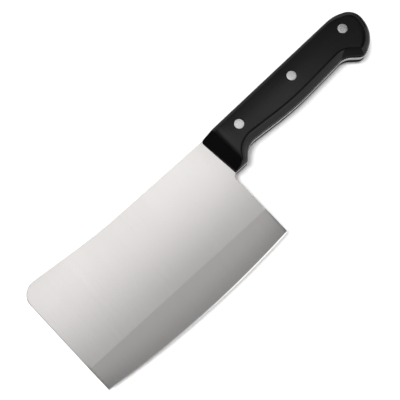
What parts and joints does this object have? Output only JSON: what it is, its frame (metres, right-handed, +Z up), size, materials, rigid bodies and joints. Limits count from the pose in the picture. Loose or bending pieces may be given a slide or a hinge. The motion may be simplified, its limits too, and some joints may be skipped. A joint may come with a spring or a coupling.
{
  "type": "meat cleaver",
  "caption": "Meat cleaver with a broad, slightly curved steel blade, a full tang and a black riveted handle with a finger guard and a hooked butt, for chopping meat and bone.",
  "frame": {"origin": "on the resting surface, under the middle of the whole cleaver, which lies on the flat of its right scale", "axes": "+X from the blade's front towards the butt of the handle, +Y from the cutting edge towards the spine, +Z up, out of the left side of the blade"},
  "size_m": [0.2882, 0.0904, 0.0195],
  "materials": {
    "blade_steel": "fine satin, ground along the edge",
    "handle_black": "semi-matt moulded black",
    "rivet_metal": "ground flush, brushed"
  },
  "bodies": {
    "root": {"blade": "blade_steel", "left_handle_scale": "handle_black", "right_handle_scale": "handle_black", "front_rivet_post": "rivet_metal", "front_rivet_sleeve": "rivet_metal", "middle_rivet_post": "rivet_metal", "middle_rivet_sleeve": "rivet_metal", "rear_rivet_post": "rivet_metal", "rear_rivet_sleeve": "rivet_metal"}
  },
  "joints": []
}
